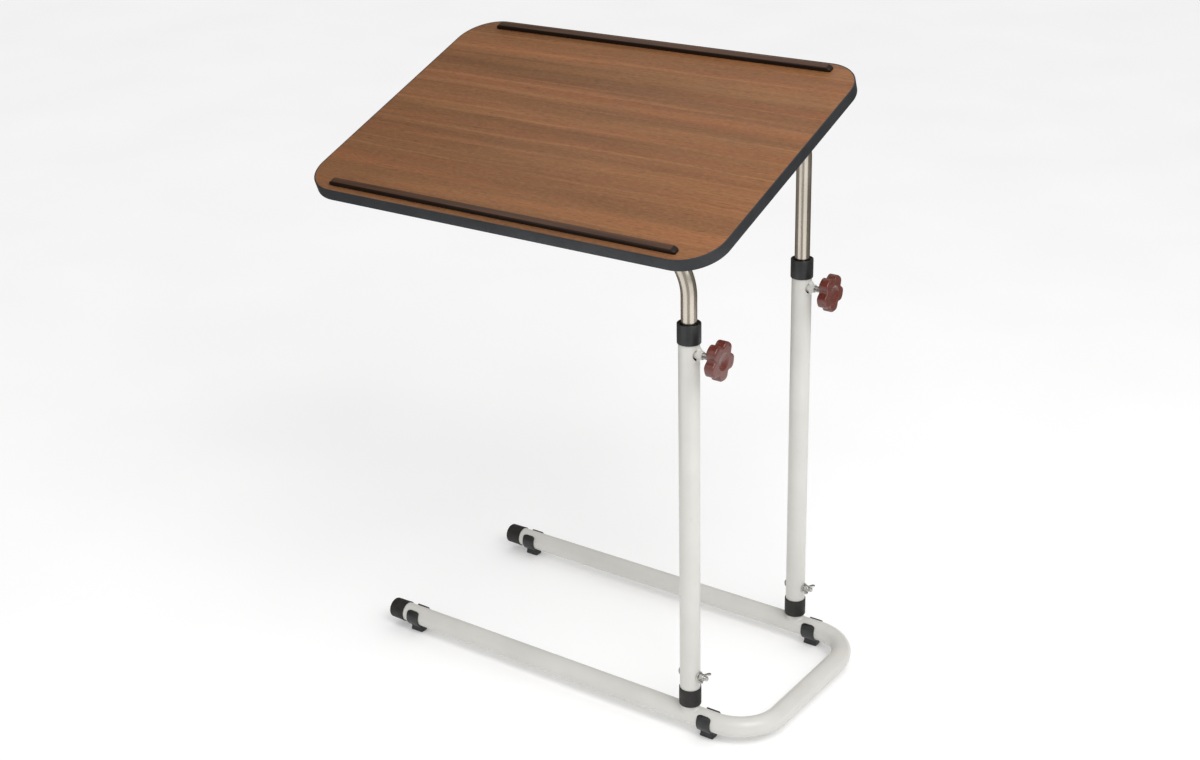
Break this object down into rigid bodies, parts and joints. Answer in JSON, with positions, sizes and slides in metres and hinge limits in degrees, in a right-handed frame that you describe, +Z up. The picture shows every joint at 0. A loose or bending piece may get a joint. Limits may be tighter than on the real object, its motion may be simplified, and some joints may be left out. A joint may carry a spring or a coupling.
{
  "type": "overbed table",
  "caption": "Tilting rectangular table top on two telescopic height-adjustable legs with a U-shaped tube base that slides under a bed or chair.",
  "frame": {"origin": "on the floor, under the middle of the whole table's bounding box", "axes": "+X along the feet, from their open ends to the closed bend; +Y from the front leg, under the table top's low edge, to the back leg; +Z up"},
  "size_m": [0.6456, 0.3794, 0.7822],
  "materials": {
    "cream_paint": "semi-gloss off-white powder coat",
    "chrome": "bright chrome plate with faint draw lines",
    "zinc": "bright zinc plate",
    "black_plastic": "fine-textured black plastic",
    "rubber": "satin black rubber",
    "brown_plastic": "glossy moulded red-brown plastic",
    "wood_laminate": "satin walnut-grain laminate",
    "backing_laminate": "matt brown backing laminate",
    "chipboard": "raw chipboard",
    "edge_plastic": "dark grey matt edging",
    "ridge_wood": "dark stained, lacquered strip"
  },
  "bodies": {
    "base_frame": {"base_tube": "cream_paint", "spigot_front": "cream_paint", "lower_collar_front": "rubber", "upright_front": "cream_paint", "upper_collar_front": "black_plastic", "weld_nut_front": "cream_paint", "cross_bolt_front": "zinc", "end_cap_front": "rubber", "glide_front_open": "black_plastic", "glide_front_bend": "black_plastic", "spigot_back": "cream_paint", "lower_collar_back": "rubber", "upright_back": "cream_paint", "upper_collar_back": "black_plastic", "weld_nut_back": "cream_paint", "cross_bolt_back": "zinc", "end_cap_back": "rubber", "glide_back_open": "black_plastic", "glide_back_bend": "black_plastic"},
    "tabletop": {"board_core": "chipboard", "top_laminate": "wood_laminate", "backing_laminate": "backing_laminate", "edge_band": "edge_plastic", "ridge_front": "ridge_wood", "ridge_back": "ridge_wood", "arm_clip_front_1": "zinc", "clip_screw_front_1a": "zinc", "clip_screw_front_1b": "zinc", "arm_clip_front_2": "zinc", "clip_screw_front_2a": "zinc", "clip_screw_front_2b": "zinc", "ridge_screw_front_1": "zinc", "ridge_screw_front_2": "zinc", "ridge_screw_front_3": "zinc", "arm_clip_back_1": "zinc", "clip_screw_back_1a": "zinc", "clip_screw_back_1b": "zinc", "arm_clip_back_2": "zinc", "clip_screw_back_2a": "zinc", "clip_screw_back_2b": "zinc", "ridge_screw_back_1": "zinc", "ridge_screw_back_2": "zinc", "ridge_screw_back_3": "zinc"},
    "front_support": {"support_tube_front": "chrome", "guide_plug_front": "black_plastic", "arm_plug_front": "black_plastic"},
    "front_clamp_stud": {"clamp_stud_front": "zinc"},
    "front_knob": {"clamp_knob_front": "brown_plastic"},
    "front_washer": {"washer_front": "zinc"},
    "front_wing_nut": {"wing_nut_front": "zinc"},
    "back_support": {"support_tube_back": "chrome", "guide_plug_back": "black_plastic", "arm_plug_back": "black_plastic"},
    "back_clamp_stud": {"clamp_stud_back": "zinc"},
    "back_knob": {"clamp_knob_back": "brown_plastic"},
    "back_washer": {"washer_back": "zinc"},
    "back_wing_nut": {"wing_nut_back": "zinc"}
  },
  "joints": [
    {"name": "height", "type": "slide", "parent": "base_frame", "child": "front_support", "axis": [0, 0, 1], "range_m": [-0.028, 0.17]},
    {"name": "tilt", "type": "hinge", "parent": "front_support", "child": "tabletop", "pos_m": [0.21715, -0.12736, 0.635], "axis": [1, 0, 0], "range_deg": [-20.8, 4.2]},
    {"name": "back_lift", "type": "slide", "parent": "front_support", "child": "back_support", "axis": [0, 0, 1], "range_m": [-0.103, 0.0215]},
    {"name": "front_clamp_travel", "type": "slide", "parent": "base_frame", "child": "front_clamp_stud", "axis": [1, 0, 0], "range_m": [0, 0.00313]},
    {"name": "front_knob_turn", "type": "hinge", "parent": "front_clamp_stud", "child": "front_knob", "pos_m": [0.21715, -0.12736, 0.506], "axis": [1, 0, 0], "range_deg": [0, 901]},
    {"name": "front_washer_travel", "type": "slide", "parent": "base_frame", "child": "front_washer", "axis": [1, 0, 0], "range_m": [0, 0.00325]},
    {"name": "front_wing_nut_turn", "type": "hinge", "parent": "front_washer", "child": "front_wing_nut", "pos_m": [0.21715, -0.12736, 0.08], "axis": [1, 0, 0], "range_deg": [0, 1171]},
    {"name": "back_clamp_travel", "type": "slide", "parent": "base_frame", "child": "back_clamp_stud", "axis": [1, 0, 0], "range_m": [0, 0.00313]},
    {"name": "back_knob_turn", "type": "hinge", "parent": "back_clamp_stud", "child": "back_knob", "pos_m": [0.21715, 0.13464, 0.506], "axis": [1, 0, 0], "range_deg": [0, 901]},
    {"name": "back_washer_travel", "type": "slide", "parent": "base_frame", "child": "back_washer", "axis": [1, 0, 0], "range_m": [0, 0.00325]},
    {"name": "back_wing_nut_turn", "type": "hinge", "parent": "back_washer", "child": "back_wing_nut", "pos_m": [0.21715, 0.13464, 0.08], "axis": [1, 0, 0], "range_deg": [0, 1171]}
  ],
  "couplings": [
    {"joint": "back_lift", "follows": "tilt", "m_per_rad": 0.28},
    {"joint": "front_knob_turn", "follows": "front_clamp_travel", "rad_per_m": 5026.5},
    {"joint": "front_wing_nut_turn", "follows": "front_washer_travel", "rad_per_m": 6283.2},
    {"joint": "back_knob_turn", "follows": "back_clamp_travel", "rad_per_m": 5026.5},
    {"joint": "back_wing_nut_turn", "follows": "back_washer_travel", "rad_per_m": 6283.2}
  ]
}
